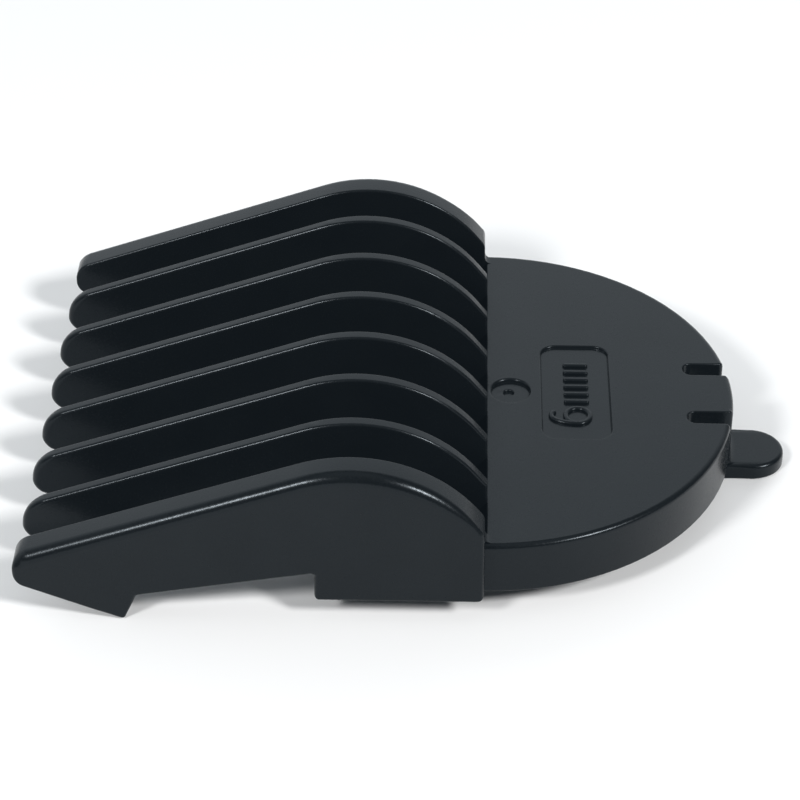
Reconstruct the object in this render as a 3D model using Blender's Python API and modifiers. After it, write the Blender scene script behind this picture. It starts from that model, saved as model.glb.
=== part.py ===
"""Guide comb that clips over a hair clipper's blade and keeps it 6 mm off the skin.

The comb is one moulding, modelled here as the regions it works by: the teeth with their blade hooks, the back
plate with its rim, and the snap tongue, which bends at its root when its pull tab is lifted.

Metres, +Z up, +X from the tooth tips to the pull tab. The origin is on the surface that the comb lies on, under
the middle of its outline. Left is -Y.
"""

import math

import bmesh
import bpy
from mathutils import Matrix, Vector

# Whole comb
LENGTH = 0.0610
WIDTH = 0.0428
HEIGHT = 0.0141
GAP = 0.0003  # between neighbouring solids
EDGE = 0.00025  # rounding of the moulded edges
ARC_STEP = math.radians(7)

# Back plate: a half disc with a rim under its curved edge
PLATE_FRONT_X = 0.0060
PLATE_TOP_Z = 0.0068
PLATE_RADIUS = 0.0200
PLATE_THICKNESS = 0.0015
RIM_WALL = 0.0013
RIM_BOTTOM_Z = 0.0022

# Snap tongue, between two slots in the plate and the rim
SLOT_Y = 0.00335
SLOT_WIDTH = 0.0015
TONGUE_ROOT_X = 0.02215
TAB_WIDTH = 0.0050
TAB_THICKNESS = 0.0013
CATCH_DEPTH = 0.0006
CATCH_WIDTH = 0.0046
CATCH_HEIGHT = 0.0011

# Teeth: six thin ones between two thick side walls
TOOTH_COUNT = 6
TOOTH_PITCH = 0.00578
TOOTH_THICKNESS = 0.00105
WALL_THICKNESS = 0.0022

# Side outline of every tooth
NOSE_TOP_RADIUS = 0.0016
NOSE_BOTTOM_RADIUS = 0.0008
RAMP_ANGLE = math.radians(19.4)
CROWN_X = -0.0044
CROWN_RADIUS = 0.0120
FALL_ANGLE = math.radians(-44)
HEEL_RADIUS = 0.0010
UNDERSIDE_ANGLE = math.radians(-22.7)
HOOK_BEND = Vector((-0.0238, 0.0008))
HOOK_TIP = Vector((-0.0217, 0.0))
HOOK_ROOT_ANGLE = math.radians(-5.5)

# Seat that the clipper's blade lies in, between the hooks and the step
SEAT_FRONT = Vector((-0.0213, 0.00246))
SEAT_ANGLE = math.radians(10)
STEP_X = -0.00725
STOP_THICKNESS = 0.0015
FLOOR_THICKNESS = 0.0013
RISER_THICKNESS = 0.0013

# Recessed panel and mould mark in the plate's top
PANEL_X = (0.0104, 0.0160)
PANEL_WIDTH = 0.0129
PANEL_RADIUS = 0.0013
MARK_X = 0.00786
MARK_RADIUS = 0.00185
RECESS_DEPTH = 0.0003

NOSE_X = -LENGTH / 2
TOOTH_BACK_X = PLATE_FRONT_X - GAP
PLATE_BOTTOM_Z = PLATE_TOP_Z - PLATE_THICKNESS
PLATE_CENTRE = Vector((PLATE_FRONT_X, 0))
RIM_INNER_RADIUS = PLATE_RADIUS - RIM_WALL
SLOT_INNER_Y = SLOT_Y - SLOT_WIDTH / 2
SLOT_OUTER_Y = SLOT_Y + SLOT_WIDTH / 2
WALL_Y = (WIDTH - WALL_THICKNESS) / 2
BETWEEN_WALLS = WIDTH - 2 * WALL_THICKNESS - 2 * GAP
STEP_TOP_Z = SEAT_FRONT.y + math.tan(SEAT_ANGLE) * (STEP_X - SEAT_FRONT.x)
FLOOR_BOTTOM_Z = STEP_TOP_Z - FLOOR_THICKNESS
CROWN_CENTRE = Vector((CROWN_X, HEIGHT - CROWN_RADIUS))
UPRIGHT = Matrix.Rotation(math.radians(90), 4, "X")  # turns an outline's second axis from Y to Z
PLASTIC_COLOUR = (0.011, 0.013, 0.015, 1)
PLASTIC_ROUGHNESS = 0.42


def clear_scene():
    for old in list(bpy.data.objects):
        bpy.data.objects.remove(old)


def new_collection(name):
    made = bpy.data.collections.new(name)
    bpy.context.scene.collection.children.link(made)
    return made


def plastic(name):
    made = bpy.data.materials.new(name)
    made.use_nodes = True
    shader = made.node_tree.nodes["Principled BSDF"]
    shader.inputs["Base Color"].default_value = PLASTIC_COLOUR
    shader.inputs["Roughness"].default_value = PLASTIC_ROUGHNESS
    shader.inputs["Metallic"].default_value = 0
    return made


def direction(angle):
    return Vector((math.cos(angle), math.sin(angle)))


def meet(first, first_angle, second, second_angle):
    """Point where two lines cross, each given by a point on it and its angle."""
    along = direction(first_angle)
    across = direction(second_angle).orthogonal()
    return first + along * (second - first).dot(across) / along.dot(across)


def arc(centre, radius, start, end):
    steps = max(2, math.ceil(abs(end - start) / ARC_STEP))
    return [centre + radius * direction(start + (end - start) * i / steps) for i in range(steps + 1)]


def rounded(corners):
    """Outline through (point, radius) corners, each rounded by an arc tangent to its two sides."""
    outline = []
    for i, (corner, radius) in enumerate(corners):
        into = (corner - corners[i - 1][0]).normalized()
        away = (corners[(i + 1) % len(corners)][0] - corner).normalized()
        turn = math.atan2(into.x * away.y - into.y * away.x, into.dot(away))
        if not radius:
            outline.append(corner)
            continue
        side = math.copysign(radius, turn)
        start = corner - into * radius * math.tan(abs(turn) / 2)
        centre = start + Vector((-into.y, into.x)) * side
        heading = math.atan2(into.y, into.x) - math.copysign(math.pi / 2, turn)
        outline += arc(centre, radius, heading, heading + turn)
    return outline


def rectangle(x_low, x_high, y_low, y_high):
    return [Vector(p) for p in ((x_low, y_low), (x_high, y_low), (x_high, y_high), (x_low, y_high))]


def mirrored(outline):
    return [Vector((p.x, -p.y)) for p in reversed(outline)]


def extruded(name, outline, thickness, location, turned=None):
    """Closed mesh object of a flat outline, with half the thickness on each side of its location."""
    curve = bpy.data.curves.new(name, "CURVE")
    curve.dimensions = "2D"
    curve.fill_mode = "BOTH"
    curve.extrude = thickness / 2
    spline = curve.splines.new("POLY")
    spline.points.add(len(outline) - 1)
    spline.use_cyclic_u = True
    for point, place in zip(spline.points, outline):
        point.co = (place.x, place.y, 0, 1)
    flat = bpy.data.objects.new(name + "_outline", curve)
    flat.matrix_world = Matrix.Translation(location) @ (turned or Matrix.Identity(4))
    bpy.context.scene.collection.objects.link(flat)
    graph = bpy.context.evaluated_depsgraph_get()
    mesh = bpy.data.meshes.new_from_object(flat.evaluated_get(graph))
    mesh.name = name
    shape = bmesh.new()
    shape.from_mesh(mesh)
    bmesh.ops.remove_doubles(shape, verts=shape.verts, dist=0.000002)
    bmesh.ops.dissolve_limit(shape, angle_limit=math.radians(1), verts=shape.verts, edges=shape.edges)
    bmesh.ops.recalc_face_normals(shape, faces=shape.faces)
    shape.to_mesh(mesh)
    shape.free()
    made = bpy.data.objects.new(name, mesh)
    made.matrix_world = flat.matrix_world
    bpy.data.objects.remove(flat)
    return made


def round_edges(part, width=EDGE):
    bevel = part.modifiers.new("moulded_edges", "BEVEL")
    bevel.width = width
    bevel.segments = 2
    bevel.limit_method = "ANGLE"
    bevel.angle_limit = math.radians(50)


def add_part(part, parent, edge=EDGE):
    """Puts a part in the comb, with its plastic and its rounded edges."""
    parts.objects.link(part)
    bpy.context.view_layer.update()
    part.parent = parent
    part.matrix_parent_inverse = parent.matrix_world.inverted()
    part.data.materials.append(plastic(part.name + "_plastic"))
    if edge:
        round_edges(part, edge)
    part.data.shade_smooth()
    part.data.set_sharp_from_angle(angle=math.radians(35))
    return part


def flat_part(name, outline, z_low, z_high, parent, edge=EDGE):
    """A part whose outline is seen from above."""
    middle = (0, 0, (z_low + z_high) / 2)
    return add_part(extruded(name, outline, z_high - z_low, middle), parent, edge)


def side_part(name, outline, y, thickness, parent, edge=EDGE):
    """A part whose outline is seen from the side."""
    return add_part(extruded(name, outline, thickness, (0, y, 0), UPRIGHT), parent, edge)


def cut(part, cutter):
    cutter.hide_render = True
    cutter.display_type = "WIRE"
    cutters.objects.link(cutter)
    boolean = part.modifiers.new(cutter.name, "BOOLEAN")
    boolean.operation = "DIFFERENCE"
    boolean.solver = "EXACT"
    boolean.object = cutter


def ring_end(radius, y):
    """Angle at which a circle about the plate's centre reaches a given y."""
    return math.asin(y / radius)


def ring_part(start, end):
    """The rim's outline from above, where start and end give the angle of its two ends at a radius."""
    outer = arc(PLATE_CENTRE, PLATE_RADIUS, start(PLATE_RADIUS), end(PLATE_RADIUS))
    return outer + arc(PLATE_CENTRE, RIM_INNER_RADIUS, end(RIM_INNER_RADIUS), start(RIM_INNER_RADIUS))


def tooth_outline(back_bottom_z, step_x):
    """A tooth seen from the side, down to the root of its hook and to the top of what it stands on."""
    nose = Vector((NOSE_X, 0))
    back = Vector((TOOTH_BACK_X, 0))
    ramp = CROWN_CENTRE + CROWN_RADIUS * direction(RAMP_ANGLE + math.pi / 2)
    fall = CROWN_CENTRE + CROWN_RADIUS * direction(FALL_ANGLE + math.pi / 2)
    above_hook = SEAT_FRONT + Vector((0, GAP))
    seat_back = meet(SEAT_FRONT, SEAT_ANGLE, Vector((step_x, 0)), math.pi / 2)
    return rounded(
        [
            (Vector((TOOTH_BACK_X, back_bottom_z)), 0),
            (meet(fall, FALL_ANGLE, back, math.pi / 2), HEEL_RADIUS),
            (meet(ramp, RAMP_ANGLE, fall, FALL_ANGLE), CROWN_RADIUS),
            (meet(ramp, RAMP_ANGLE, nose, math.pi / 2), NOSE_TOP_RADIUS),
            (meet(above_hook, HOOK_ROOT_ANGLE, nose, math.pi / 2), NOSE_BOTTOM_RADIUS),
            (meet(above_hook, HOOK_ROOT_ANGLE, SEAT_FRONT, SEAT_ANGLE), 0),
            (seat_back, 0),
            (Vector((step_x, back_bottom_z)), 0),
        ]
    )


def hook_outline():
    """The barb under a tooth's nose, which holds the front edge of the blade."""
    root = meet(HOOK_BEND, UNDERSIDE_ANGLE, SEAT_FRONT, HOOK_ROOT_ANGLE)
    return [root, HOOK_BEND, HOOK_TIP, SEAT_FRONT]


def make_teeth(comb):
    for i in range(TOOTH_COUNT):
        y = (i - (TOOTH_COUNT - 1) / 2) * TOOTH_PITCH
        outline = tooth_outline(STEP_TOP_Z + GAP, STEP_X - GAP)
        side_part(f"tooth_{i + 1}", outline, y, TOOTH_THICKNESS, comb)
        side_part(f"hook_{i + 1}", hook_outline(), y, TOOTH_THICKNESS, comb, EDGE / 2)


def make_side(comb, name, y):
    """A side wall with its hook, and the skirt under it, whose front face is the step behind the blade."""
    side_part(f"side_wall_{name}", tooth_outline(STEP_TOP_Z, STEP_X - GAP), y, WALL_THICKNESS, comb, 2 * EDGE)
    side_part(f"side_hook_{name}", hook_outline(), y, WALL_THICKNESS, comb, EDGE)
    skirt = rectangle(STEP_X, TOOTH_BACK_X, RIM_BOTTOM_Z, STEP_TOP_Z - GAP)
    side_part(f"side_skirt_{name}", skirt, y, WALL_THICKNESS, comb)


def make_tooth_root(comb):
    """The sunk floor that joins the roots of the teeth, the bar under its front edge, and the riser to the plate."""
    half = BETWEEN_WALLS / 2
    root = rectangle(STEP_X, TOOTH_BACK_X, -half, half)
    flat_part("root_floor", root, FLOOR_BOTTOM_Z, STEP_TOP_Z, comb)
    bar = rectangle(STEP_X, STEP_X + STOP_THICKNESS, -half, half)
    flat_part("blade_stop", bar, RIM_BOTTOM_Z, FLOOR_BOTTOM_Z - GAP, comb)
    half = RIM_INNER_RADIUS - 2 * GAP
    riser = rectangle(PLATE_FRONT_X, PLATE_FRONT_X + RISER_THICKNESS, -half, half)
    flat_part("root_riser", riser, FLOOR_BOTTOM_Z, PLATE_BOTTOM_Z - GAP, comb)


def slot_end(side):
    """The rounded inner end of a slot, from its outer edge to its innermost point."""
    centre = Vector((TONGUE_ROOT_X + SLOT_WIDTH / 2, side * SLOT_Y))
    return arc(centre, SLOT_WIDTH / 2, side * math.pi / 2, side * math.pi)


def make_back_plate(comb):
    end = ring_end(PLATE_RADIUS, SLOT_OUTER_Y)
    outline = arc(PLATE_CENTRE, PLATE_RADIUS, -math.pi / 2, -end) + slot_end(-1)
    outline += slot_end(1)[::-1] + arc(PLATE_CENTRE, PLATE_RADIUS, end, math.pi / 2)
    plate = flat_part("back_plate", outline, PLATE_BOTTOM_Z, PLATE_TOP_Z, comb)
    half = PANEL_WIDTH / 2
    panel = rounded([(corner, PANEL_RADIUS) for corner in rectangle(*PANEL_X, -half, half)])
    top = (0, 0, PLATE_TOP_Z)
    cut(plate, extruded("size_panel_recess", panel, 2 * RECESS_DEPTH, top))
    mark = arc(Vector((MARK_X, 0)), MARK_RADIUS, 0, 2 * math.pi)[:-1]
    cut(plate, extruded("mould_mark_recess", mark, 2 * RECESS_DEPTH, top))


def make_rim(comb):
    left = ring_part(lambda radius: -math.pi / 2, lambda radius: -ring_end(radius, SLOT_OUTER_Y))
    flat_part("rim_left", left, RIM_BOTTOM_Z, PLATE_BOTTOM_Z - GAP, comb)
    flat_part("rim_right", mirrored(left), RIM_BOTTOM_Z, PLATE_BOTTOM_Z - GAP, comb)


def make_tongue(hinge):
    """The tongue hangs down as a piece of the rim, with a catch inside and a pull tab outside its lower end."""
    end = ring_end(PLATE_RADIUS, SLOT_INNER_Y)
    root_x = TONGUE_ROOT_X + GAP
    plate = [Vector((root_x, -SLOT_INNER_Y))] + arc(PLATE_CENTRE, PLATE_RADIUS, -end, end)
    plate.append(Vector((root_x, SLOT_INNER_Y)))
    flat_part("tongue_plate", plate, PLATE_BOTTOM_Z, PLATE_TOP_Z, hinge)
    wall = ring_part(lambda radius: -ring_end(radius, SLOT_INNER_Y), lambda radius: ring_end(radius, SLOT_INNER_Y))
    flat_part("tongue_wall", wall, TAB_THICKNESS + GAP, PLATE_BOTTOM_Z - GAP, hinge)

    inner_x = PLATE_FRONT_X + RIM_INNER_RADIUS
    tip = Vector((LENGTH / 2 - TAB_WIDTH / 2, 0))
    tab = [Vector((inner_x, -TAB_WIDTH / 2))] + arc(tip, TAB_WIDTH / 2, -math.pi / 2, math.pi / 2)
    tab.append(Vector((inner_x, TAB_WIDTH / 2)))
    flat_part("pull_tab", tab, 0, TAB_THICKNESS, hinge)

    catch_x = inner_x - GAP - (RIM_INNER_RADIUS - math.sqrt(RIM_INNER_RADIUS**2 - (CATCH_WIDTH / 2) ** 2))
    low = TAB_THICKNESS + GAP
    ridge = [
        Vector((catch_x, low)),
        Vector((catch_x, low + CATCH_HEIGHT)),
        Vector((catch_x - CATCH_DEPTH, low + 0.65 * CATCH_HEIGHT)),
        Vector((catch_x - CATCH_DEPTH, low + 0.35 * CATCH_HEIGHT)),
    ]
    side_part("snap_catch", ridge, 0, CATCH_WIDTH, hinge, EDGE / 3)


def empty(name, location, parent=None):
    made = bpy.data.objects.new(name, None)
    made.location = location
    made.empty_display_size = 0.005
    made.parent = parent
    parts.objects.link(made)
    return made


clear_scene()
parts = new_collection("guide_comb")
cutters = new_collection("cutters")
comb_frame = empty("comb_frame", (0, 0, 0))
hinge_place = (TONGUE_ROOT_X + GAP / 2, 0, PLATE_TOP_Z - PLATE_THICKNESS / 2)
tongue_hinge = empty("tongue_hinge", hinge_place, comb_frame)
make_teeth(comb_frame)
make_side(comb_frame, "left", -WALL_Y)
make_side(comb_frame, "right", WALL_Y)
make_tooth_root(comb_frame)
make_back_plate(comb_frame)
make_rim(comb_frame)
make_tongue(tongue_hinge)
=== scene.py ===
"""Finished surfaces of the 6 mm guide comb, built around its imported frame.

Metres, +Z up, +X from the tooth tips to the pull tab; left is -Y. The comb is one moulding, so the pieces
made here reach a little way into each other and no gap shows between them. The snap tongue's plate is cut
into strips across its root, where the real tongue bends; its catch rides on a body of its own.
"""

import math

import bmesh
import bpy
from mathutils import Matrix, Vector


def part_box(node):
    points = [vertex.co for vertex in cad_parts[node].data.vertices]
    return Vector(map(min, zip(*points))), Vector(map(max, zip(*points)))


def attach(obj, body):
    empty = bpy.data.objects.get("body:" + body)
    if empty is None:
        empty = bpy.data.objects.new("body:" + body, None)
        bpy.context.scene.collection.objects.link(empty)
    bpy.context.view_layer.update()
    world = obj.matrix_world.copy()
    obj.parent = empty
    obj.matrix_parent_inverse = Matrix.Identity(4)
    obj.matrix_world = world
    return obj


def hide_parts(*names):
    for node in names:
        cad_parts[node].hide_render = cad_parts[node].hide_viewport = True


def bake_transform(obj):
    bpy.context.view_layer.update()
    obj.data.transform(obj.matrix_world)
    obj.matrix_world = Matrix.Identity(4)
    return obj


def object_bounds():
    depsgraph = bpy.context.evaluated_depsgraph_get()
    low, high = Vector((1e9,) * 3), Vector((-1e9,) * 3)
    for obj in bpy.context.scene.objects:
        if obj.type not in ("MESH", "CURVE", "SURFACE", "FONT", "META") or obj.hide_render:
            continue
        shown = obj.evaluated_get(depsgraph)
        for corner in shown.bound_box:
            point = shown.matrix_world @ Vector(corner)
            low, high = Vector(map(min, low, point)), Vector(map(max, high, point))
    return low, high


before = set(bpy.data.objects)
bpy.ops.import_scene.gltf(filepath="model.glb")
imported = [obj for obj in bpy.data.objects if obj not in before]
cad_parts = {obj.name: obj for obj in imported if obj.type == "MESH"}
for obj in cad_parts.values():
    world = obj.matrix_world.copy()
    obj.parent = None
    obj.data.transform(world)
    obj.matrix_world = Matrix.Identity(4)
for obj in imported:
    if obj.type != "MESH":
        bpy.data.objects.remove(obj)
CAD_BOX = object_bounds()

# Places that the frame gives
LOW, HIGH = CAD_BOX
PLATE_LOW, PLATE_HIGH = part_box("back_plate")
FLOOR_LOW, FLOOR_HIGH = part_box("root_floor")
STOP_LOW, STOP_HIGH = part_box("blade_stop")
RISER_LOW, RISER_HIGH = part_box("root_riser")
TAB_LOW, TAB_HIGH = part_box("pull_tab")
CATCH_LOW, CATCH_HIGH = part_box("snap_catch")
RIM_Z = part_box("rim_left")[0].z
WALL_INNER_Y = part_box("side_wall_right")[0].y
TOOTH_COUNT = sum(name.startswith("tooth_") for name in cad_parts)

# How far the finished surfaces stand from their solids, after the last fit to the photo
PLATE_FORWARD = 0.00025
PLATE_FRONT_FORWARD = 0.00015
PLATE_OUTWARD = 0.00035
RIM_UPWARD = 0.00012
CROWN_UPWARD = 0.0001
TAB_OUTWARD = 0.00015
WALL_OUTWARD = 0.0001
WALL_INWARD = 0.00027

# The half-round plate and its rim
BACK_X = PLATE_LOW.x - PLATE_FORWARD  # backs of the side walls, and the middle of the half circle
PLATE_FRONT_X = PLATE_LOW.x - PLATE_FRONT_FORWARD
PLATE_CENTRE = Vector((BACK_X, 0))
PLATE_RADIUS = PLATE_HIGH.y + PLATE_OUTWARD
RIM_INNER_RADIUS = TAB_LOW.x - BACK_X
RISER_REACH = RISER_HIGH.x - PLATE_LOW.x
RIM_BOTTOM_Z = RIM_Z + RIM_UPWARD

# Side outline of a tooth
RAMP_ANGLE = math.radians(19.4)
CROWN_X = -0.0044
CROWN_RADIUS = 0.0120
CROWN_CENTRE = Vector((CROWN_X, HIGH.z + CROWN_UPWARD - CROWN_RADIUS))
FALL_ANGLE = math.radians(-53)  # back of the crown, down to the plate
NOSE_Z = 0.0050  # height at which a nose's x is measured
UNDERSIDE_ANGLE = math.radians(-22.7)  # between the nose and the hook
HOOK_TIP = Vector((-0.0220, LOW.z))
SEAT_FRONT = Vector((-0.0209, 0.0024))
SEAT_ANGLE = math.radians(10)
HOOK_RADIUS = 0.0003

# What differs between the thin teeth and the side walls; "top" and "bottom" are the nose's two radii
TOOTH_NOSE = {"x": LOW.x + 0.00008, "lean": math.radians(-6.8), "top": 0.0028, "bottom": 0.0012}
TOOTH_BEND = Vector((-0.0246, 0.00038))
TOOTH_HEEL_RADIUS = 0.0004
WALL_NOSE = {"x": LOW.x + 0.0001, "lean": 0, "top": 0.0017, "bottom": 0.00125}
WALL_BEND = Vector((-0.0243, 0.00088))
WALL_HEEL_RADIUS = 0.0011
WALL_SEAT_RADIUS = 0.00025
WALL_SKIRT_RADII = (0.0004, 0.0005)  # front and back of the wall's rear foot

# Sunk floor and its stop bar
STOP_RADIUS = 0.00025
STOP_STEP_RADIUS = 0.0004
FLOOR_FRONT_RADIUS = 0.00015

# Snap tongue: the slots on its two sides, the line where its plate starts, its bend and its catch
SLOT_Y = 0.00335  # middle of a slot
SLOT_RADIUS = 0.00075  # half a slot's width, with which its inner end is rounded
SLOT_END_X = 0.02215
SLOT_INNER_Y = SLOT_Y - SLOT_RADIUS
SLOT_OUTER_Y = SLOT_Y + SLOT_RADIUS
ROOT_LENGTH = 0.0005
ROOT_X = SLOT_END_X - ROOT_LENGTH
BEND_LENGTH = 0.0012
BEND_STRIPS = 8
BEND_SNAP = 0.0000001  # points this near to a strip's line count as on it
CATCH_SLOPE = 0.3  # share of the catch's height that each of its slopes takes

# Roundings of the moulded edges, and of corners in the plan
RIM_TOP_EDGE = 0.00042
RIM_BOTTOM_EDGE = 0.00012
SLOT_EDGE = 0.00012
FRONT_EDGE = 0.00015
TOOTH_EDGE = 0.0002
TOOTH_NOSE_EDGE = 0.0005
WALL_TOP_EDGE = 0.0009
WALL_SIDE_EDGE = 0.0003
WALL_BOTTOM_EDGE = 0.00012
WALL_INNER_EDGE = 0.00012
WALL_INNER_TOP_EDGE = 0.0002
WALL_FILLET = 0.0006
POCKET_FILLET = 0.0004
CATCH_RADIUS = 0.00025
CATCH_EDGE = 0.0001
TAB_EDGE = 0.00035
TAB_FILLET = 0.0006
TAB_END_RADIUS = 0.00265
MOUTH_RADIUS = 0.00035  # corners where a slot opens in the plate's outer edge
MOUTH_STEPS = 5
MOUTH_BLEND = 4  # steps over which the rounding of the tongue's top edge changes beside each slot
TONGUE_END_STEPS = 14

# As a side wall's outline turns upward, its edges' roundings grow to their full top size between these upward
# parts of the outline's outward direction: first along the nose, then along the back
NOSE_GROWTH = (0, 0.7)
BACK_GROWTH = (0.5, 0.9)

BURIED = 0.0004  # how far a piece reaches into its neighbour
SKIM = 0.00005  # keeps faces of two pieces from lying in one plane
HOLD = 0.00003  # width of the flat band that keeps a face's shading flat up to its rounded edge
WELD = 0.000002  # points of a skin that are closer than this become one
ARC_STEP = math.radians(4)
SHARP_ANGLE = math.radians(42)
FLAT_FACE_WEIGHT = 80
SMOOTH_TURN = 0.8  # two edges whose directions have a bigger dot product belong to one curve

# (inward, back) at each step of a quarter round of radius 1 between a side and a face: how far it is inside
# the side, and how far behind the face
ROUNDING_STEPS = 5
QUARTER = [math.pi / 2 * k / ROUNDING_STEPS for k in range(ROUNDING_STEPS + 1)]
QUARTER_ROUND = [(1 - math.cos(turn), 1 - math.sin(turn)) for turn in QUARTER]

# Size mark and mould mark in the plate's top
PANEL_X = (0.0104, 0.0160)
PANEL_HALF_WIDTH = 0.00645
PANEL_RADIUS = 0.0013
RECESS_DEPTH = 0.00024
RECESS_LIP = 0.00014  # rounding of a recess's edge
RECESS_SLOPE = RECESS_LIP / 2  # how far a recess narrows from its mouth to its floor
MARK_PLACE = Vector((0.00786, 0))
MARK_RADIUS = 0.00158
MARK_DEPTH = 0.00033
MARK_LIP = 0.0002
DIMPLE_PLACE = MARK_PLACE + Vector((-0.00015, 0.0001))
DIMPLE_RADIUS = 0.0004
DIMPLE_STEPS = 32
STROKE = 0.00044
STROKE_HEIGHT = 0.00026
STROKE_EDGE = 0.4 * STROKE
STROKE_END_STEPS = 10
BOWL_CENTRE = Vector((0.0133, -0.0032))
BOWL_RADII = (0.00098, 0.00102)  # along x and y
BOWL_END = 250  # degrees at which the bowl's curve ends; both curves start at -90
TAIL_END = -205
TAIL_LENGTH = 0.00215  # from the bowl's middle to the 6's top
BAR_COUNT = 6
BAR_X = (0.01243, 0.01407)
BAR_FIRST_Y = -0.00128
BAR_PITCH = 0.00102

# Studio
STUDIO_TINT = (0.9, 0.96, 1.0, 1)
DARK_ROOM = 0.15  # strength of the light from every direction
SWEEP = 1.2  # strength of the white wall behind the comb
SWEEP_TURN = math.radians(25)  # how far the sweep's middle stands to the left of straight behind
SWEEP_FADE = (-0.15, 0.7)  # cosines of the angles from its middle at which it ends and at which it is full
SWEEP_LEVELS = ((0, 0.7), (25, 0.95), (44, 1.0), (58, 0.0), (90, 0.0))  # (elevation, share of SWEEP)
OVERHEAD = 0.45  # strength of the panel straight above
OVERHEAD_FADE = (math.cos(math.radians(32)), math.cos(math.radians(10)))  # as for the sweep
FLOOR_HALF_SIZE = 4
SOFTBOX_SIZE = 0.16
SOFTBOX_DISTANCE = 0.8
SOFTBOX_ELEVATION = math.radians(40)
SOFTBOXES = {"softbox_left": (-40, 3.6), "softbox_right": (52, 5.4)}  # (azimuth in degrees, watts)

# Camera and film
CAMERA_LENS = 120.6
CAMERA_SENSOR = 36
CAMERA_AZIMUTH = math.radians(-1.571)
CAMERA_ELEVATION = math.radians(36.06)
CAMERA_ROLL = math.radians(-0.1365)
CAMERA_AIM = Vector((-0.00124, 0.00091, 0.0050))
CAMERA_DISTANCE = 0.2221
BLACK_LEVEL = (-0.0040, -0.0059, -0.0078)  # below zero, so black comes out a little lighter


def direction(angle):
    """Unit vector at an angle."""
    return Vector((math.cos(angle), math.sin(angle)))


def meet(first, first_angle, second, second_angle):
    """Point where two lines cross, each given by a point on it and its angle."""
    along = direction(first_angle)
    across = direction(second_angle).orthogonal()
    return first + along * (second - first).dot(across) / along.dot(across)


def arc(centre, radius, start, end, steps=None):
    """Points of an arc from one angle to another, both ends included."""
    steps = steps or max(3, math.ceil(abs(end - start) / ARC_STEP))
    return [centre + radius * direction(start + (end - start) * i / steps) for i in range(steps + 1)]


def rounded(corners):
    """Outline through (point, radius) corners, each rounded by an arc tangent to its two sides."""
    outline = []
    for i, (corner, radius) in enumerate(corners):
        into = (corner - corners[i - 1][0]).normalized()
        away = (corners[(i + 1) % len(corners)][0] - corner).normalized()
        turn = math.atan2(into.x * away.y - into.y * away.x, into.dot(away))
        if not radius:
            outline.append(corner)
            continue
        side = math.copysign(radius, turn)
        start = corner - into * radius * math.tan(abs(turn) / 2)
        centre = start + Vector((-into.y, into.x)) * side
        heading = math.atan2(into.y, into.x) - math.copysign(math.pi / 2, turn)
        outline += arc(centre, radius, heading, heading + turn)
    return outline


def rectangle(x_low, x_high, y_low, y_high):
    return [Vector(p) for p in ((x_low, y_low), (x_high, y_low), (x_high, y_high), (x_low, y_high))]


def mirrored(outline):
    """The outline on the other side of y = 0, reversed, so that it still runs the same way round."""
    return [Vector((p.x, -p.y)) for p in reversed(outline)]


def outward(outline, i):
    """Outward normal of the outline's edge after point i; the outline runs anticlockwise."""
    along = (outline[(i + 1) % len(outline)] - outline[i]).normalized()
    return Vector((along.y, -along.x))


def every(outline, radius):
    return [radius] * len(outline)


def inset(outline, amounts):
    """The outline with each edge moved inward by its own amount."""
    moved = []
    for i, point in enumerate(outline):
        before, after = -outward(outline, i - 1), -outward(outline, i)
        a, b = amounts[i - 1], amounts[i]
        if before.dot(after) > SMOOTH_TURN:
            middle = (before + after).normalized()
            moved.append(point + middle * (a + b) / 2 / middle.dot(after))
        else:
            turn = before.x * after.y - before.y * after.x
            moved.append(point + Vector((a * after.y - b * before.y, b * before.x - a * after.x)) / turn)
    return moved


def corner_radii(outline, radii):
    """Radius that each point's rounding takes from the edges on its two sides."""
    found = []
    for i in range(len(outline)):
        a, b = radii[i - 1], radii[i]
        smooth = outward(outline, i - 1).dot(outward(outline, i)) > SMOOTH_TURN
        found.append((a + b) / 2 if smooth else max(a, b))
    return found


def blended(start, end, share):
    """Smooth change from start to end as share goes from 0 to 1."""
    share = min(1, max(0, share))
    return start + (end - start) * share**2 * (3 - 2 * share)


def graded(points, start, end):
    """(point, radius) pairs whose radius goes evenly from start to end."""
    return [(p, start + (end - start) * i / max(1, len(points) - 1)) for i, p in enumerate(points)]


def level_ring(outline, amounts, height):
    """The inset outline as (point, height) pairs at one height."""
    return [(p, height) for p in inset(outline, amounts)]


def rounding(outline, radii, face_height, inner_height, opening):
    """Rings of the rounded edge of a face; they start at the face if opening, else they end there."""
    heights = corner_radii(outline, radii)
    side = math.copysign(1, inner_height - face_height)
    rings = []
    for inward, back in QUARTER_ROUND:
        moved = inset(outline, [radius * inward for radius in radii])
        rings.append([(p, face_height + side * height * back) for p, height in zip(moved, heights)])
    rings.append(level_ring(outline, [radius + HOLD if radius else 0 for radius in radii], face_height))
    return rings[::-1] if opening else rings


def link(name, mesh):
    made = bpy.data.objects.new(name, mesh)
    bpy.context.scene.collection.objects.link(made)
    return made


def skin(name, rings, place):
    """Closed mesh over rings of (point, height), which place turns into points in space."""
    shape = bmesh.new()
    rows = [[shape.verts.new(place(point, height)) for point, height in ring] for ring in rings]
    count = len(rows[0])
    for low, high in zip(rows, rows[1:]):
        for i in range(count):
            j = (i + 1) % count
            shape.faces.new((low[i], low[j], high[j], high[i]))
    shape.faces.new(rows[0][::-1])
    shape.faces.new(rows[-1])
    bmesh.ops.remove_doubles(shape, verts=shape.verts, dist=WELD)
    bmesh.ops.dissolve_degenerate(shape, edges=shape.edges, dist=WELD / 2)
    bmesh.ops.recalc_face_normals(shape, faces=shape.faces)
    mesh = bpy.data.meshes.new(name)
    shape.to_mesh(mesh)
    shape.free()
    return link(name, mesh)


def upright(point, height):
    """Puts a side view's (x, z) point in space, at height in y."""
    return Vector((point.x, height, point.y))


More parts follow.
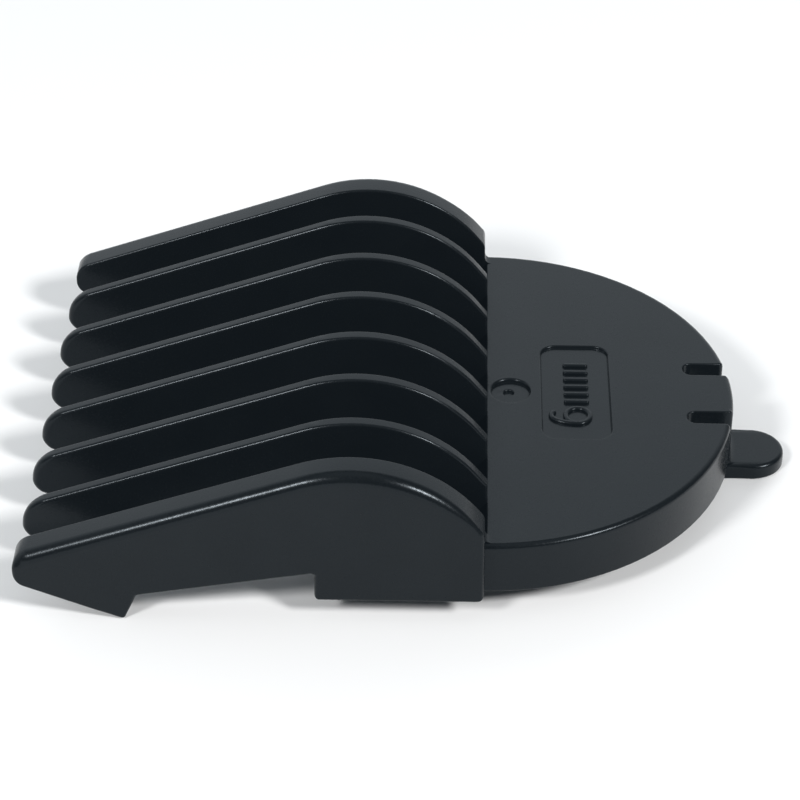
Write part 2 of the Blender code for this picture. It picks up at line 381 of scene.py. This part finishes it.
def flat(point, height):
    """Puts a plan's (x, y) point in space, at height in z."""
    return Vector((point.x, point.y, height))


def slab(name, outline, low, high, low_radii, high_radii, place):
    """An outline given a thickness, with the edges of its two faces rounded."""
    middle = (low + high) / 2
    rings = rounding(outline, low_radii, low, middle, True)
    rings += rounding(outline, high_radii, high, middle, False)
    return skin(name, rings, place)


def replace_mesh(piece):
    """Applies the piece's modifiers."""
    graph = bpy.context.evaluated_depsgraph_get()
    made = bpy.data.meshes.new_from_object(piece.evaluated_get(graph))
    piece.modifiers.clear()
    old, piece.data = piece.data, made
    bpy.data.meshes.remove(old)


def cut(piece, cutters):
    """Takes the cutters out of the piece, and then out of the scene."""
    for cutter in cutters:
        boolean = piece.modifiers.new(cutter.name, "BOOLEAN")
        boolean.operation = "DIFFERENCE"
        boolean.solver = "EXACT"
        boolean.object = cutter
    replace_mesh(piece)
    for cutter in cutters:
        bpy.data.objects.remove(cutter)


def finish_surface(piece, material, body=None):
    """Gives a piece its material, shading that keeps flat faces flat, and the body it rides on."""
    piece.data.materials.clear()
    piece.data.materials.append(material)
    piece.data.shade_smooth()
    piece.data.set_sharp_from_angle(angle=SHARP_ANGLE)
    weighted = piece.modifiers.new("flat_faces", "WEIGHTED_NORMAL")
    weighted.keep_sharp = True
    weighted.weight = FLAT_FACE_WEIGHT
    if body:
        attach(piece, body)


def seat_at(x):
    """Point of the blade seat's line at x."""
    return meet(SEAT_FRONT, SEAT_ANGLE, Vector((x, 0)), math.pi / 2)


def tooth_outline(nose, bend, heel_radius, back_x, root):
    """A tooth seen from the side: over the crown to the nose, hook and seat, then its root's corners."""
    tip = Vector((nose["x"], NOSE_Z))
    upright_angle = math.pi / 2 + nose["lean"]
    ramp = CROWN_CENTRE + CROWN_RADIUS * direction(RAMP_ANGLE + math.pi / 2)
    fall = CROWN_CENTRE + CROWN_RADIUS * direction(FALL_ANGLE + math.pi / 2)
    corners = [
        (meet(fall, FALL_ANGLE, Vector((back_x, 0)), math.pi / 2), heel_radius),
        (meet(ramp, RAMP_ANGLE, fall, FALL_ANGLE), CROWN_RADIUS),
        (meet(ramp, RAMP_ANGLE, tip, upright_angle), nose["top"]),
        (meet(bend, UNDERSIDE_ANGLE, tip, upright_angle), nose["bottom"]),
        (bend, 0),
        (HOOK_TIP, HOOK_RADIUS),
        (SEAT_FRONT, HOOK_RADIUS),
    ]
    return rounded(corners + root)


def make_teeth(material):
    """The inner teeth with their hooks; each reaches into the floor, the stop bar and the plate."""
    step_x = STOP_LOW.x + 2 * SKIM
    middle = (FLOOR_LOW.z + FLOOR_HIGH.z) / 2
    under_plate = PLATE_HIGH.z - 2 * FRONT_EDGE
    back_x = PLATE_FRONT_X + 2 * SKIM
    root = [
        (seat_at(step_x), 0),
        (Vector((step_x, middle)), 0),
        (Vector((PLATE_LOW.x + BURIED, middle)), 0),
        (Vector((PLATE_LOW.x + BURIED, under_plate)), 0),
        (Vector((back_x, under_plate)), 0),
    ]
    outline = tooth_outline(TOOTH_NOSE, TOOTH_BEND, TOOTH_HEEL_RADIUS, back_x, root)
    edges = [blended(TOOTH_EDGE, TOOTH_NOSE_EDGE, -outward(outline, i).x) for i in range(len(outline))]
    for i in range(1, TOOTH_COUNT + 1):
        low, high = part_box(f"tooth_{i}")
        tooth = slab(f"comb_tooth_{i}", outline, low.y, high.y, edges, edges, upright)
        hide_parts(f"tooth_{i}", f"hook_{i}")
        finish_surface(tooth, material, "comb")


def wall_edges(outline):
    """Roundings of a side wall's inner and outer edges, bigger along the ramp, the crown and the back."""
    inner, outer = [], []
    for i in range(len(outline)):
        x, up = outward(outline, i)
        start, full = NOSE_GROWTH if x < 0 else BACK_GROWTH
        share = (up - start) / (full - start)
        inner.append(blended(WALL_INNER_EDGE, WALL_INNER_TOP_EDGE, share))
        outer.append(blended(blended(WALL_SIDE_EDGE, WALL_BOTTOM_EDGE, -up), WALL_TOP_EDGE, share))
    return inner, outer


def make_side(name, side, material):
    """A side wall in one piece with its hook and skirt; side is -1 left, 1 right."""
    outer_y = side * (HIGH.y + WALL_OUTWARD)
    inner_y = side * (WALL_INNER_Y - WALL_INWARD)
    front_radius, back_radius = WALL_SKIRT_RADII
    root = [
        (seat_at(STOP_LOW.x), WALL_SEAT_RADIUS),
        (Vector((STOP_LOW.x, RIM_Z)), front_radius),
        (Vector((BACK_X, RIM_Z)), back_radius),
    ]
    outline = tooth_outline(WALL_NOSE, WALL_BEND, WALL_HEEL_RADIUS, BACK_X, root)
    inner, outer = wall_edges(outline)
    (low, low_radii), (high, high_radii) = sorted([(inner_y, inner), (outer_y, outer)])
    wall = slab(f"comb_side_{name}", outline, low, high, low_radii, high_radii, upright)
    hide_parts(f"side_wall_{name}", f"side_hook_{name}", f"side_skirt_{name}")
    finish_surface(wall, material, "comb")
    make_wall_fillet(name, side * (PLATE_RADIUS - RIM_TOP_EDGE), inner_y + side * SKIM, material)


def make_wall_fillet(name, outer_y, inner_y, material):
    """The hollow rounding between the back of a side wall and the plate's top."""
    corner = Vector((BACK_X, PLATE_HIGH.z))
    middle = corner + Vector((WALL_FILLET, WALL_FILLET))
    profile = arc(middle, WALL_FILLET, -math.pi / 2, -math.pi)
    buried = ((-BURIED, WALL_FILLET), (-BURIED, -BURIED), (WALL_FILLET, -BURIED))
    profile += [corner + Vector(place) for place in buried]
    square = every(profile, 0)
    fillet = slab(f"comb_corner_{name}", profile, *sorted((outer_y, inner_y)), square, square, upright)
    finish_surface(fillet, material, "comb")


def make_floor(material):
    """The sunk floor between the teeth and the stop bar under its front edge, in one L-shaped piece."""
    front_x, back_x = STOP_LOW.x + SKIM, RISER_LOW.x + BURIED
    bottom, top = STOP_LOW.z + SKIM, FLOOR_HIGH.z - SKIM
    outline = rounded(
        [
            (Vector((front_x, bottom)), STOP_RADIUS),
            (Vector((STOP_HIGH.x, bottom)), STOP_RADIUS),
            (Vector((STOP_HIGH.x, FLOOR_LOW.z)), STOP_STEP_RADIUS),
            (Vector((back_x, FLOOR_LOW.z)), 0),
            (Vector((back_x, top)), 0),
            (Vector((front_x, top)), FLOOR_FRONT_RADIUS),
        ]
    )
    ends = WALL_INNER_Y + BURIED
    square = every(outline, 0)
    floor = slab("comb_floor", outline, -ends, ends, square, square, upright)
    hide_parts("root_floor", "blade_stop")
    finish_surface(floor, material, "comb")


def plate_angle(y, radius):
    """Angle at which a circle about the plate's centre reaches a given y."""
    return math.asin(y / radius)


def mouth(y, end):
    """Rounded corner where a slot opens in the plate's outer edge: its angle on the plate's circle, its arc.

    y is that of the arc's centre, and end is the angle at which the arc runs into the side of the slot.
    """
    angle = plate_angle(y, PLATE_RADIUS - MOUTH_RADIUS)
    centre = PLATE_CENTRE + (PLATE_RADIUS - MOUTH_RADIUS) * direction(angle)
    return angle, arc(centre, MOUTH_RADIUS, angle, end, MOUTH_STEPS)


def shell_plan():
    """The plate from above without its tongue, as (point, rounding of the edge after it) pairs."""
    wall_y = WALL_INNER_Y + BURIED / 2
    ear_x = BACK_X - BURIED  # reaches into the side wall
    edge_end, corner = mouth(-SLOT_OUTER_Y - MOUTH_RADIUS, math.pi / 2)
    edge = arc(PLATE_CENTRE, PLATE_RADIUS, -math.pi / 2, edge_end)
    slot = arc(Vector((SLOT_END_X + SLOT_RADIUS, -SLOT_Y)), SLOT_RADIUS, -math.pi / 2, -math.pi)
    half = [(Vector((PLATE_FRONT_X, -wall_y)), 0), (Vector((ear_x, -wall_y)), 0)]
    half += [(Vector((ear_x, -PLATE_RADIUS)), RIM_TOP_EDGE)]
    half += graded(edge[:-1], RIM_TOP_EDGE, RIM_TOP_EDGE)
    half += graded(corner, RIM_TOP_EDGE, SLOT_EDGE)
    half += graded(slot[:-1], SLOT_EDGE, SLOT_EDGE)
    half += [(slot[-1], 0), (Vector((ROOT_X, -SLOT_Y)), 0)]
    other = mirrored([point for point, _ in half])
    radii = [radius for _, radius in reversed(half[:-1])]
    return half + list(zip(other, radii + [FRONT_EDGE]))


def make_shell(material):
    """The half-round plate with its rim and riser, hollow below, with the recesses of its marks on top."""
    plan = shell_plan()
    outline = [point for point, _ in plan]
    top = [radius for _, radius in plan]
    bottom = [min(radius, RIM_BOTTOM_EDGE) for radius in top]
    shell = slab("comb_shell", outline, RIM_BOTTOM_Z, PLATE_HIGH.z, bottom, top, flat)
    cut(shell, [pocket_cutter(), front_cutter(), panel_cutter(), mark_cutter(), dimple_cutter()])
    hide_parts("back_plate", "rim_left", "rim_right", "root_riser")
    finish_surface(shell, material, "comb")


def flared(name, outline, mouth_z, lip, levels):
    """A cutter whose mouth widens in a quarter round, so that it leaves a rounded edge.

    levels are the (inset, height) rings from the mouth to the cutter's inner end.
    """
    side = math.copysign(lip, levels[-1][1] - mouth_z)
    rings = [level_ring(outline, every(outline, -lip), mouth_z - side)]
    for inward, back in reversed(QUARTER_ROUND):
        rings.append(level_ring(outline, every(outline, -lip * inward), mouth_z + side * back))
    for amount, height in levels:
        rings.append(level_ring(outline, every(outline, amount), height))
    return skin(name, rings, flat)


def hollow_cutter(name, outline, mouth_z):
    """A cutter from below, up to the plate's underside, where it leaves a fillet."""
    levels = [(POCKET_FILLET * inward, PLATE_LOW.z - POCKET_FILLET * back) for inward, back in QUARTER_ROUND]
    return flared(name, outline, mouth_z, RIM_BOTTOM_EDGE, levels)


def recess_cutter(name, outline, top_z, depth, lip):
    """A cutter from above, with slightly sloping sides."""
    return flared(name, outline, top_z, lip, [(RECESS_SLOPE, top_z - depth)])


def pocket_cutter():
    """The hollow under the plate, inside the rim and behind the riser."""
    reach = math.acos(RISER_REACH / RIM_INNER_RADIUS)
    outline = arc(PLATE_CENTRE, RIM_INNER_RADIUS, -reach, reach)
    return hollow_cutter("pocket", outline, RIM_BOTTOM_Z)


def front_cutter():
    """Opens the pocket to the front, under the riser."""
    half = math.sqrt(RIM_INNER_RADIUS**2 - RISER_REACH**2)
    outline = rectangle(PLATE_LOW.x - BURIED, RISER_HIGH.x + BURIED, -half, half)
    square = every(outline, 0)
    return slab("front_opening", outline, RIM_Z - BURIED, FLOOR_LOW.z, square, square, flat)


def panel_cutter():
    """The shallow panel that holds the size mark."""
    corners = rectangle(*PANEL_X, -PANEL_HALF_WIDTH, PANEL_HALF_WIDTH)
    outline = rounded([(corner, PANEL_RADIUS) for corner in corners])
    return recess_cutter("size_panel", outline, PLATE_HIGH.z, RECESS_DEPTH, RECESS_LIP)


def mark_cutter():
    """The round recess of the mould mark."""
    outline = arc(MARK_PLACE, MARK_RADIUS, 0, 2 * math.pi)[:-1]
    return recess_cutter("mould_mark", outline, PLATE_HIGH.z, MARK_DEPTH, MARK_LIP)


def dimple_cutter():
    """The dimple in the floor of the mould mark."""
    outline = arc(DIMPLE_PLACE, DIMPLE_RADIUS, 0, 2 * math.pi, DIMPLE_STEPS)[:-1]
    return recess_cutter("mould_dimple", outline, PLATE_HIGH.z - MARK_DEPTH, RECESS_DEPTH, RECESS_LIP)


def tongue_root():
    """The tongue's plate from above: root, slot end and side, up to its wall, as (point, rounding) pairs."""
    slot = arc(Vector((SLOT_END_X + SLOT_RADIUS, -SLOT_Y)), SLOT_RADIUS, math.pi, math.pi / 2)
    wall_x = PLATE_CENTRE.x + math.sqrt(RIM_INNER_RADIUS**2 - SLOT_INNER_Y**2)
    root = [(Vector((ROOT_X, -SLOT_Y)), 0)] + graded(slot, SLOT_EDGE, SLOT_EDGE)
    return root + [(Vector((wall_x, -SLOT_INNER_Y)), SLOT_EDGE)]


def tongue_wall_end():
    """The outer end of the tongue's wall from above, on the plate's circle between its two mouths."""
    angle, corner = mouth(-SLOT_INNER_Y + MOUTH_RADIUS, -math.pi / 2)
    edge = arc(PLATE_CENTRE, PLATE_RADIUS, angle, -angle, TONGUE_END_STEPS)
    return corner[::-1] + edge[1:-1] + mirrored(corner[::-1])


def tab_end(count):
    """The outer end of the pull tab from above, in as many points as the wall's end has."""
    foot_x = PLATE_CENTRE.x + PLATE_RADIUS + TAB_FILLET
    middle = Vector((HIGH.x + TAB_OUTWARD - TAB_END_RADIUS, 0))
    round_end = arc(middle, TAB_END_RADIUS, -math.pi / 2, math.pi / 2, count - 3)
    return [Vector((foot_x, -SLOT_INNER_Y)), *round_end, Vector((foot_x, SLOT_INNER_Y))]


def tongue_rings():
    """Rings from the tongue's plate down its wall, out along the tab's fillet, and to the tab's underside."""
    near = [point for point, _ in tongue_root()]
    near_radii = [radius for _, radius in tongue_root()]
    far, far_radii = mirrored(near), [*near_radii[-2::-1], 0]
    wall_end = tongue_wall_end()
    count = len(wall_end)
    ramp = [min(1, i / MOUTH_BLEND, (count - 1 - i) / MOUTH_BLEND) for i in range(count - 1)]
    end_radii = [SLOT_EDGE + (RIM_TOP_EDGE - SLOT_EDGE) * share for share in ramp]
    radii = near_radii + end_radii + [SLOT_EDGE] + far_radii
    rings = rounding(near + wall_end + far, radii, PLATE_HIGH.z, LOW.z, True)

    # The fillet from the wall out to the tab
    for inward, back in QUARTER_ROUND:
        narrow = 1 - TAB_EDGE / SLOT_INNER_Y * inward
        moved = [Vector((p.x + TAB_FILLET * inward, p.y * narrow)) for p in wall_end]
        rings.append([(p, TAB_HIGH.z + TAB_FILLET * back) for p in near + moved + far])

    tab_outline = near + tab_end(count) + far

    def tab_ring(amount, height):
        amounts = [0] * len(near) + [amount] * (count - 1) + [0] * (len(far) + 1)
        rings.append(level_ring(tab_outline, amounts, height))

    # The edges of the tab's top and underside
    for inward, back in reversed(QUARTER_ROUND):
        tab_ring(TAB_EDGE * inward, TAB_HIGH.z - TAB_EDGE * back)
    for inward, back in QUARTER_ROUND:
        tab_ring(RIM_BOTTOM_EDGE * inward, LOW.z + RIM_BOTTOM_EDGE * back)
    return rings


def tongue_cutter():
    """The hollow under the tongue's plate, inside its wall."""
    reach = plate_angle(SLOT_OUTER_Y, RIM_INNER_RADIUS)
    outline = arc(PLATE_CENTRE, RIM_INNER_RADIUS, -reach, reach)
    outline += [Vector((ROOT_X - BURIED - POCKET_FILLET, y)) for y in (outline[-1].y, outline[0].y)]
    return hollow_cutter("tongue_hollow", outline, LOW.z)


def add_strips(tongue):
    """Cuts the tongue's plate into strips across, so that it can bend."""
    shape = bmesh.new()
    shape.from_mesh(tongue.data)
    for i in range(BEND_STRIPS + 1):
        x = SLOT_END_X + BEND_LENGTH * i / BEND_STRIPS
        geometry = shape.verts[:] + shape.edges[:] + shape.faces[:]
        bmesh.ops.bisect_plane(shape, geom=geometry, dist=BEND_SNAP, plane_co=(x, 0, 0), plane_no=(1, 0, 0))
    shape.to_mesh(tongue.data)
    shape.free()


def make_tongue(material):
    """Plate strip, hanging wall and pull tab in one piece, cut into strips over BEND_LENGTH past the slots'
    ends.
    """
    tongue = skin("comb_tongue", tongue_rings(), flat)
    cut(tongue, [tongue_cutter()])
    add_strips(tongue)
    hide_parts("tongue_plate", "tongue_wall", "pull_tab")
    finish_surface(tongue, material)
    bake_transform(tongue)


def make_catch(material):
    """Ridge inside the tongue's wall, which snaps under the clipper's head."""
    inside = CATCH_HIGH.x + BURIED
    slope = (CATCH_HIGH.z - CATCH_LOW.z) * CATCH_SLOPE
    outline = rounded(
        [
            (Vector((inside, CATCH_LOW.z)), 0),
            (Vector((inside, CATCH_HIGH.z)), 0),
            (Vector((CATCH_LOW.x, CATCH_HIGH.z - slope)), CATCH_RADIUS),
            (Vector((CATCH_LOW.x, CATCH_LOW.z + slope)), CATCH_RADIUS),
        ]
    )
    edges = every(outline, CATCH_EDGE)
    catch = slab("comb_catch", outline, CATCH_LOW.y, CATCH_HIGH.y, edges, edges, upright)
    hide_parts("snap_catch")
    finish_surface(catch, material, "tongue")


def stroke_outline(line, half):
    """Outline of a pen stroke of even width with round ends, along a line of points."""
    steps = [(b - a).normalized() for a, b in zip(line, line[1:])]
    headings = [steps[0]] + [(a + b).normalized() for a, b in zip(steps, steps[1:])] + [steps[-1]]
    right = [p + Vector((h.y, -h.x)) * half for p, h in zip(line, headings)]
    left = [p - Vector((h.y, -h.x)) * half for p, h in zip(line, headings)]
    ends = []
    for point, heading in ((line[-1], headings[-1]), (line[0], -headings[0])):
        angle = math.atan2(heading.y, heading.x)
        ends.append(arc(point, half, angle - math.pi / 2, angle + math.pi / 2, STROKE_END_STEPS)[1:-1])
    return right + ends[0] + left[::-1] + ends[1]


def raised_stroke(name, line, material):
    """A raised stroke of the size mark, standing on the floor of its recess."""
    outline = stroke_outline(line, STROKE / 2)
    low = PLATE_HIGH.z - RECESS_DEPTH - BURIED / 2
    high = PLATE_HIGH.z - RECESS_DEPTH + STROKE_HEIGHT
    stroke = slab(name, outline, low, high, every(outline, 0), every(outline, STROKE_EDGE), flat)
    finish_surface(stroke, material, "comb")


def make_size_mark(material):
    """A plain 6, read with its top towards the teeth, and a row of graduation bars beside it."""

    def curve(half_length, half_width, end):
        unit = arc(Vector((0, 0)), 1, math.radians(-90), math.radians(end))
        return [BOWL_CENTRE + Vector((p.x * half_length, p.y * half_width)) for p in unit]

    raised_stroke("size_mark_bowl", curve(*BOWL_RADII, BOWL_END), material)
    raised_stroke("size_mark_tail", curve(TAIL_LENGTH, BOWL_RADII[1], TAIL_END), material)
    for i in range(BAR_COUNT):
        y = BAR_FIRST_Y + BAR_PITCH * i
        raised_stroke(f"size_mark_bar_{i + 1}", [Vector((x, y)) for x in BAR_X], material)


def comb_plastic():
    """Near-black satin polypropylene with the fine even grain of a spark-eroded mould."""
    material = bpy.data.materials.new("comb_plastic")
    material.use_nodes = True
    nodes, links = material.node_tree.nodes, material.node_tree.links
    shader = nodes["Principled BSDF"]
    shader.inputs["IOR"].default_value = 1.3
    shader.inputs["Specular Tint"].default_value = (0.84, 0.93, 1.0, 1)
    place = nodes.new("ShaderNodeTexCoord")

    def noise(scale, detail):
        made = nodes.new("ShaderNodeTexNoise")
        made.inputs["Scale"].default_value = scale
        made.inputs["Detail"].default_value = detail
        links.new(place.outputs["Object"], made.inputs["Vector"])
        return made

    flow = noise(scale=220, detail=3)
    colour = nodes.new("ShaderNodeValToRGB")
    dark, light = colour.color_ramp.elements
    dark.position, dark.color = 0.35, (0.0022, 0.0028, 0.0032, 1)
    light.position, light.color = 0.65, (0.0030, 0.0038, 0.0043, 1)
    links.new(flow.outputs["Fac"], colour.inputs["Fac"])
    links.new(colour.outputs["Color"], shader.inputs["Base Color"])

    grain = noise(scale=5200, detail=2)
    gloss = nodes.new("ShaderNodeMapRange")
    gloss.inputs["From Min"].default_value = 0.3
    gloss.inputs["From Max"].default_value = 0.7
    gloss.inputs["To Min"].default_value = 0.20
    gloss.inputs["To Max"].default_value = 0.28
    links.new(grain.outputs["Fac"], gloss.inputs["Value"])
    links.new(gloss.outputs["Result"], shader.inputs["Roughness"])

    bump = nodes.new("ShaderNodeBump")
    bump.inputs["Strength"].default_value = 0.25
    bump.inputs["Distance"].default_value = 0.00002
    links.new(grain.outputs["Fac"], bump.inputs["Height"])
    links.new(bump.outputs["Normal"], shader.inputs["Normal"])
    return material


def floor_material():
    """Matt white studio paint."""
    material = bpy.data.materials.new("studio_floor")
    material.use_nodes = True
    shader = material.node_tree.nodes["Principled BSDF"]
    shader.inputs["Base Color"].default_value = (0.82, 0.82, 0.82, 1)
    shader.inputs["Roughness"].default_value = 0.9
    shader.inputs["Specular IOR Level"].default_value = 0.0
    return material


def make_floor_plane():
    """The studio's floor, just under the comb."""
    mesh = bpy.data.meshes.new("studio_floor")
    shape = bmesh.new()
    bmesh.ops.create_grid(shape, x_segments=1, y_segments=1, size=FLOOR_HALF_SIZE)
    shape.to_mesh(mesh)
    shape.free()
    plane = link("studio_floor", mesh)
    plane.location.z = LOW.z - SKIM
    mesh.materials.append(floor_material())


def make_world():
    """A white sweep standing behind the comb, a dim overhead panel, and a dark room around the camera."""
    world = bpy.data.worlds.new("studio")
    bpy.context.scene.world = world
    world.use_nodes = True
    nodes, links = world.node_tree.nodes, world.node_tree.links
    background = nodes["Background"]
    background.inputs["Color"].default_value = STUDIO_TINT

    def fade(source, start, full, level=1.0):
        """Smooth rise from 0 to level as source goes from start to full."""
        made = nodes.new("ShaderNodeMapRange")
        made.interpolation_type = "SMOOTHSTEP"
        made.inputs["From Min"].default_value = start
        made.inputs["From Max"].default_value = full
        made.inputs["To Max"].default_value = level
        links.new(source, made.inputs["Value"])
        return made.outputs["Result"]

    def combine(operation, first, second):
        """Sum or product of two values, each another node's output or a number."""
        made = nodes.new("ShaderNodeMath")
        made.operation = operation
        for value, socket in zip((first, second), made.inputs):
            if isinstance(value, float):
                socket.default_value = value
            else:
                links.new(value, socket)
        return made.outputs["Value"]

    place = nodes.new("ShaderNodeTexCoord")
    axes = nodes.new("ShaderNodeSeparateXYZ")
    links.new(place.outputs["Generated"], axes.inputs["Vector"])
    facing = nodes.new("ShaderNodeVectorMath")
    facing.operation = "DOT_PRODUCT"
    facing.inputs[1].default_value = (-math.sin(SWEEP_TURN), math.cos(SWEEP_TURN), 0)
    links.new(place.outputs["Generated"], facing.inputs[0])

    height = nodes.new("ShaderNodeValToRGB")
    height.color_ramp.interpolation = "EASE"
    stops = height.color_ramp.elements  # a new ramp has the first and the last of the levels' places
    for elevation, _ in SWEEP_LEVELS[1:-1]:
        stops.new(math.sin(math.radians(elevation)))
    for stop, (_, level) in zip(stops, SWEEP_LEVELS):
        stop.color = (level, level, level, 1)
    links.new(axes.outputs["Z"], height.inputs["Fac"])

    around = fade(facing.outputs["Value"], *SWEEP_FADE)
    sweep = combine("MULTIPLY", combine("MULTIPLY", around, height.outputs["Color"]), SWEEP)
    overhead = fade(axes.outputs["Z"], *OVERHEAD_FADE, OVERHEAD)
    total = combine("ADD", combine("ADD", sweep, overhead), DARK_ROOM)
    links.new(total, background.inputs["Strength"])


def make_softbox(name, azimuth, power):
    """Round soft box in front of the comb, to one side of the camera; azimuth + is right."""
    light = bpy.data.lights.new(name, "AREA")
    light.shape = "DISK"
    light.size = SOFTBOX_SIZE
    light.energy = power
    lamp = bpy.data.objects.new(name, light)
    bpy.context.scene.collection.objects.link(lamp)
    turn = math.radians(azimuth)
    level = math.cos(SOFTBOX_ELEVATION)
    away = Vector((math.sin(turn) * level, -math.cos(turn) * level, math.sin(SOFTBOX_ELEVATION)))
    lamp.location = SOFTBOX_DISTANCE * away
    lamp.rotation_euler = away.to_track_quat("Z", "Y").to_euler()


def make_camera():
    """The camera that was fitted to the photo."""
    data = bpy.data.cameras.new("camera")
    data.lens = CAMERA_LENS
    data.sensor_width = CAMERA_SENSOR
    data.clip_start = 0.01
    camera = bpy.data.objects.new("camera", data)
    bpy.context.scene.collection.objects.link(camera)
    level = math.cos(CAMERA_ELEVATION)
    across, along = -math.sin(CAMERA_AZIMUTH) * level, -math.cos(CAMERA_AZIMUTH) * level
    back = Vector((across, along, math.sin(CAMERA_ELEVATION)))
    camera.location = CAMERA_AIM + CAMERA_DISTANCE * back
    camera.rotation_euler = back.to_track_quat("Z", "Y").to_euler()
    camera.rotation_euler.rotate_axis("Z", CAMERA_ROLL)
    bpy.context.scene.camera = camera


def set_film():
    """Plain display colours whose black is raised a little, as it is on a photograph."""
    view = bpy.context.scene.view_settings
    view.view_transform = "Standard"
    view.use_curve_mapping = True
    view.curve_mapping.black_level = BLACK_LEVEL
    view.curve_mapping.update()


plastic = comb_plastic()
make_teeth(plastic)
make_side("left", -1, plastic)
make_side("right", 1, plastic)
make_floor(plastic)
make_shell(plastic)
make_tongue(plastic)
make_catch(plastic)
make_size_mark(plastic)
make_floor_plane()
make_world()
for name, (azimuth, power) in SOFTBOXES.items():
    make_softbox(name, azimuth, power)
make_camera()
set_film()
